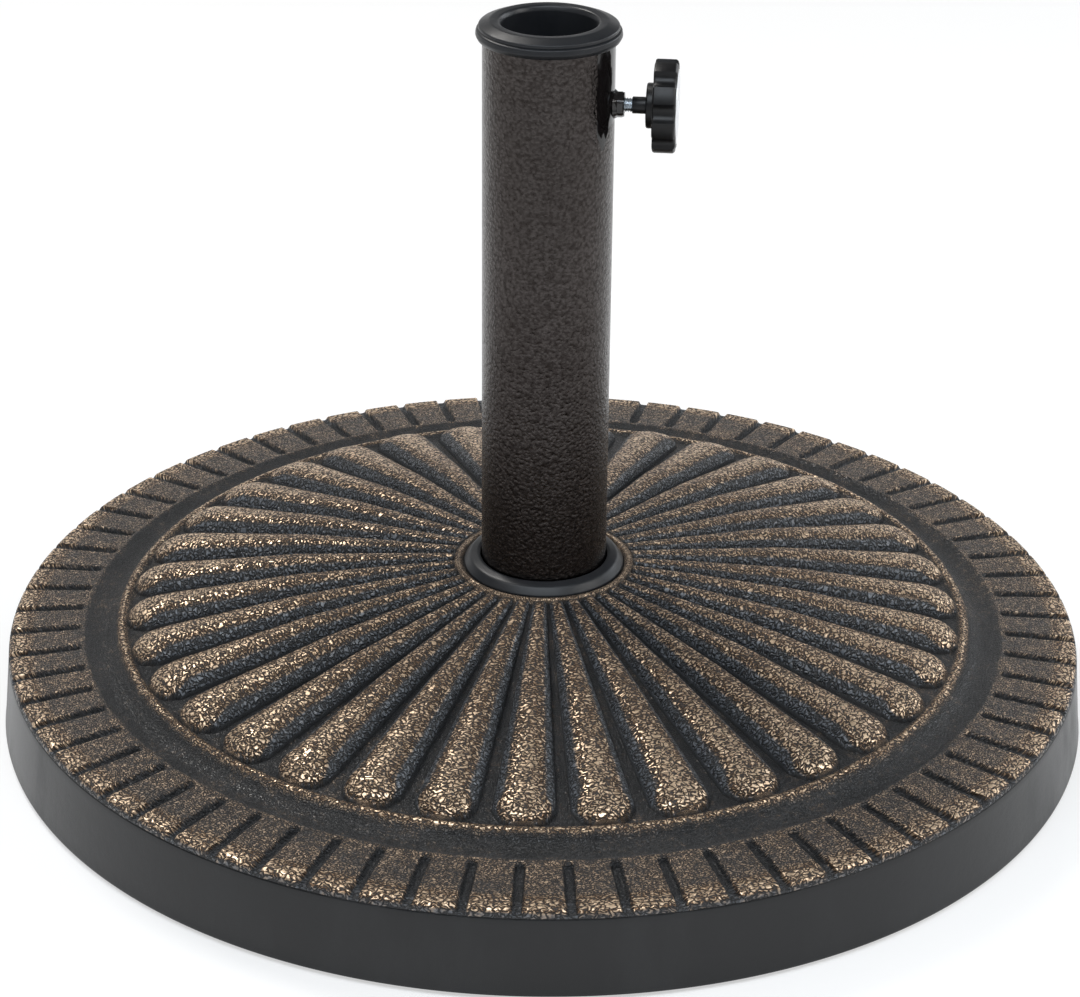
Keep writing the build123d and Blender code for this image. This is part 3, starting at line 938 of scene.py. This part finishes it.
def clamp_weld_piece():
    """Lumpy bead between nut and tube."""
    columns, row_count = 144, 14
    leg, sunk = 1.35, 0.15
    angle, hexagon = nut_hexagon(columns)
    inner = hexagon - 0.3
    lumps = 0.35 * np.sin(5 * angle + 0.6) + 0.25 * np.sin(9 * angle + 2.0)
    lumps = lumps + 0.15 * np.sin(17 * angle)
    rows = []
    for step in range(row_count):
        share = step / (row_count - 1)
        bulge = math.sin(share * math.pi / 2)
        reach = inner + (leg + 0.3 * lumps) * (1 - share) ** 0.75
        reach = reach + 0.15 * lumps * bulge * (1 - share)
        y, up = reach * np.cos(angle), reach * np.sin(angle)
        skin = np.sqrt(tube_radius**2 - y**2) - sunk
        x = skin + (weld_high.x - sunk - skin) * share**1.25
        rows.append(np.stack([x, y, up + clamp_z], -1))
    y, up = inner * np.cos(angle) * 0.8, inner * np.sin(angle) * 0.8
    rows.append(np.stack([np.sqrt(tube_radius**2 - y**2) - sunk, y, up + clamp_z], -1))
    return grid_object("clamp_weld_bead", np.array(rows))


finish_piece(clamp_weld_piece(), "root", pooled_paint, "clamp_weld")


def clamp_screw_piece():
    """M6 stud with its thread cut as a helix of 1 mm pitch."""
    pitch, crest, root, lead_cut = 1.0, 2.99, 2.42, 0.8
    start, end = screw_low.x, screw_high.x
    angle = np.linspace(0, 2 * math.pi, 48, endpoint=False)
    rows = [clamp_ring(start, 0.0, angle)]
    count = int((end - start) / pitch * 8)
    for step in range(count + 1):
        x = start + (end - start) * step / count
        turn = (x / pitch - angle / (2 * math.pi)) % 1.0
        tooth = np.clip(1.25 - 2.6 * np.abs(turn - 0.5), 0, 1)
        lead = min(1.0, (x - start + 0.02) / lead_cut)
        radius = np.minimum(root + (crest - root) * tooth, crest - lead_cut * (1 - lead))
        rows.append(clamp_ring(x, radius, angle))
    rows.append(clamp_ring(end, 0.0, angle))
    made = grid_object("clamp_screw_thread", np.array(rows), close_rows=False)
    return sharp_corners(made, 30)


finish_piece(clamp_screw_piece(), "clamp_screw", zinc, "clamp_screw")


def knob_outline(columns):
    """Angles and radii of the star: eight lobes with rounded shoulders between scallops."""
    lobes, phase, tip, scallop, depth = 8, 36.1, 19.25, 4.2, 2.7
    angle = np.linspace(0, 2 * math.pi, columns, endpoint=False)
    spread = 2 * math.pi / lobes
    fold = (angle - math.radians(phase) + spread / 2) % spread - spread / 2
    centre = tip + scallop - depth
    inside = np.clip(scallop**2 - (centre * np.sin(fold)) ** 2, 0, None)
    cut = np.where(inside > 0, centre * np.cos(fold) - np.sqrt(inside), tip + 2)
    sharp = 6.0
    return angle, tip - np.log(1 + np.exp(-sharp * (cut - tip))) / sharp


def knob_piece():
    """Star knob on a shank: a hollow back, a scalloped rim and a recess for the disc."""
    angle, outline = knob_outline(384)
    shank_x, face_x = knob_low.x, knob_high.x
    head_x = face_x - 9.7
    flange_x = head_x - 3.0
    back_x = head_x + 6.0
    stud_x = shank_x + 12.0
    inner = 14.2
    profile = (
        (stud_x, 3.06), (shank_x + 0.3, 3.06), (shank_x, 3.3), (shank_x + 0.25, 3.5),
        (flange_x - 0.35, 3.5), (flange_x - 0.05, 3.85), (flange_x, 8.9), (flange_x + 0.3, 9.25),
        (flange_x + 0.7, 9.4), (back_x - 0.3, 9.4), (back_x, 9.7), (back_x, inner - 0.3),
        (back_x - 0.3, inner), (head_x + 0.3, inner), (head_x, inner + 0.3),
        (head_x, outline - 1.0), (head_x + 0.12, outline - 0.55), (head_x + 0.4, outline - 0.2),
        (head_x + 0.9, outline), (face_x - 1.3, outline), (face_x - 0.7, outline - 0.25),
        (face_x - 0.25, outline - 0.75), (face_x, outline - 1.5),
        (face_x, 15.4), (face_x - 0.5, 15.3), (face_x - 0.5, 3.0), (stud_x, 3.0),
    )
    rows = [clamp_ring(x, radius, angle) for x, radius in profile]
    return sharp_corners(grid_object("star_knob", np.array(rows)), 42)


finish_piece(knob_piece(), "knob", knob_plastic, "knob")

disc_low, disc_high = box_mm("knob_disc")
disc_radius = disc_high.y
disc = turned(
    "knob_face_disc",
    round_corners(
        [
            (0.0, disc_low.x, 0),
            (disc_radius, disc_low.x, 0),
            (disc_radius, disc_high.x - 0.1, 0.35),
            (disc_radius - 1.6, disc_high.x, 0.3),
            (0.0, disc_high.x - 0.05, 0),
        ]
    ),
    128,
    round_screw=True,
)
finish_piece(disc, "knob", silver, "knob_disc")


# ---------------------------------------------------------------- CAD nodes that stay
def dress(name, paint):
    """Material on a CAD node whose shape stays."""
    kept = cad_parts[name]
    kept.data.materials.clear()
    kept.data.materials.append(paint)


dress("tube", hammered)
dress("tube_flange", hammered)
dress("tube_weld", hammered)
dress("bottom_plate", black_plastic)
dress("cement_ballast", cement)
for name in ("anchor_bolt", "anchor_nut", "flat_washer", "spring_washer"):
    dress(name, zinc)
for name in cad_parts:
    if name.startswith("rubber_foot"):
        dress(name, rubber)


# ---------------------------------------------------------------- floor, light and camera
def stage_material(name, colour, shown):
    """Plain pale floor: lit and shadowed, and lightened towards white where the camera sees it.

    Gloss and glass see that white too, less in front of the base.
    """
    made, tree, shader = new_material(name)
    shader.inputs["Base Color"].default_value = colour
    shader.inputs["Roughness"].default_value = 0.9
    shader.inputs["Specular IOR Level"].default_value = 0.1
    ray = node(tree, "ShaderNodeLightPath")
    forward = node(tree, "ShaderNodeSeparateXYZ", {0: object_place(tree)}).outputs[1]
    near = mapped(tree, forward, -0.85, -0.40, 0.15, 1.0)
    mirrored = math_node(
        tree, "MAXIMUM", ray.outputs["Is Glossy Ray"], ray.outputs["Is Transmission Ray"]
    )
    seen = math_node(
        tree, "MAXIMUM", ray.outputs["Is Camera Ray"], math_node(tree, "MULTIPLY", mirrored, near)
    )
    white = node(tree, "ShaderNodeEmission", {"Color": rgb(1, 1, 1), "Strength": 1.0})
    blend = node(tree, "ShaderNodeMixShader", {0: math_node(tree, "MULTIPLY", seen, shown)})
    feed(tree, shader.outputs[0], blend.inputs[1])
    feed(tree, white.outputs[0], blend.inputs[2])
    feed(tree, blend.outputs[0], tree.nodes["Material Output"].inputs["Surface"])
    return made


def plane(name, half, height, material):
    """Square stage piece, not part of the object."""
    mesh = bpy.data.meshes.new(name)
    mesh.from_pydata(
        [(-half, -half, height), (half, -half, height), (half, half, height), (-half, half, height)],
        [],
        [(0, 1, 2, 3)],
    )
    made = bpy.data.objects.new(name, mesh)
    bpy.context.scene.collection.objects.link(made)
    mesh.materials.append(material)
    return made


plane("floor", 6.0, 0.0, stage_material("floor_white", rgb(0.92, 0.92, 0.92), 0.55))

world = bpy.data.worlds.new("studio")
bpy.context.scene.world = world
world.use_nodes = True
world_tree = world.node_tree
background = world_tree.nodes["Background"]
background.inputs["Color"].default_value = rgb(1, 1, 1)
toward = node(world_tree, "ShaderNodeTexCoord").outputs["Generated"]
rise = node(world_tree, "ShaderNodeSeparateXYZ", {0: toward}).outputs[2]
strength = mapped(world_tree, rise, 0.02, 0.36, 1.0, 0.12)
feed(world_tree, strength, background.inputs["Strength"])


lamp_target = Vector((0, 0, 0.05))


def lamp(name, place, size, power, colour):
    """Area lamp turned to the middle of the base."""
    light = bpy.data.lights.new(name, "AREA")
    light.shape = "RECTANGLE"
    light.size, light.size_y = size
    light.energy = power
    light.color = colour
    made = bpy.data.objects.new(name, light)
    bpy.context.scene.collection.objects.link(made)
    made.location = place
    made.rotation_euler = (lamp_target - Vector(place)).to_track_quat("-Z", "Y").to_euler()


lamp("front", (0.0, -1.0, 1.8), (2.0, 1.0), 30, (0.86, 0.93, 1.0))
lamp("key", (-1.0, 1.0, 1.9), (0.7, 0.7), 26, (1.0, 0.97, 0.93))
lamp("right", (1.5, -0.3, 1.2), (0.9, 0.6), 11, (1.0, 0.99, 0.97))
lamp("left", (-1.3, -0.45, 1.9), (0.9, 0.9), 6, (1.0, 0.98, 0.96))
lamp("back", (1.3, 1.0, 0.75), (1.2, 0.6), 7, (0.90, 0.95, 1.0))

# The camera was solved from the base's ellipses: where it stands, how far it is turned and its lens
focal_pixels = 3060.0
image_width = 1080.0
sensor_mm = 36.0
camera_turn = math.radians(5.0)
camera_lift = math.radians(26.37)
camera_roll = 0.0097
camera_distance = 1344.0
side_shift = -1.9
target_up = 96.07


def row_point(x, y, z):
    """A point of the camera's own frame, turned into the row frame, in metres."""
    return Vector(
        (
            x * math.cos(camera_turn) - y * math.sin(camera_turn),
            x * math.sin(camera_turn) + y * math.cos(camera_turn),
            z,
        )
    ) * MM


camera_data = bpy.data.cameras.new("camera")
camera_data.sensor_width = sensor_mm
camera_data.lens = focal_pixels / image_width * sensor_mm
camera_data.clip_end = 50
camera = bpy.data.objects.new("camera", camera_data)
bpy.context.scene.collection.objects.link(camera)
target = row_point(side_shift, 0, target_up)
camera.location = row_point(
    side_shift,
    -camera_distance * math.cos(camera_lift),
    target_up + camera_distance * math.sin(camera_lift),
)
upright = (target - camera.location).to_track_quat("-Z", "Y")
camera.rotation_mode = "QUATERNION"
camera.rotation_quaternion = upright @ Quaternion((0, 0, 1), camera_roll)
bpy.context.scene.camera = camera

bpy.context.scene.view_settings.view_transform = "Standard"
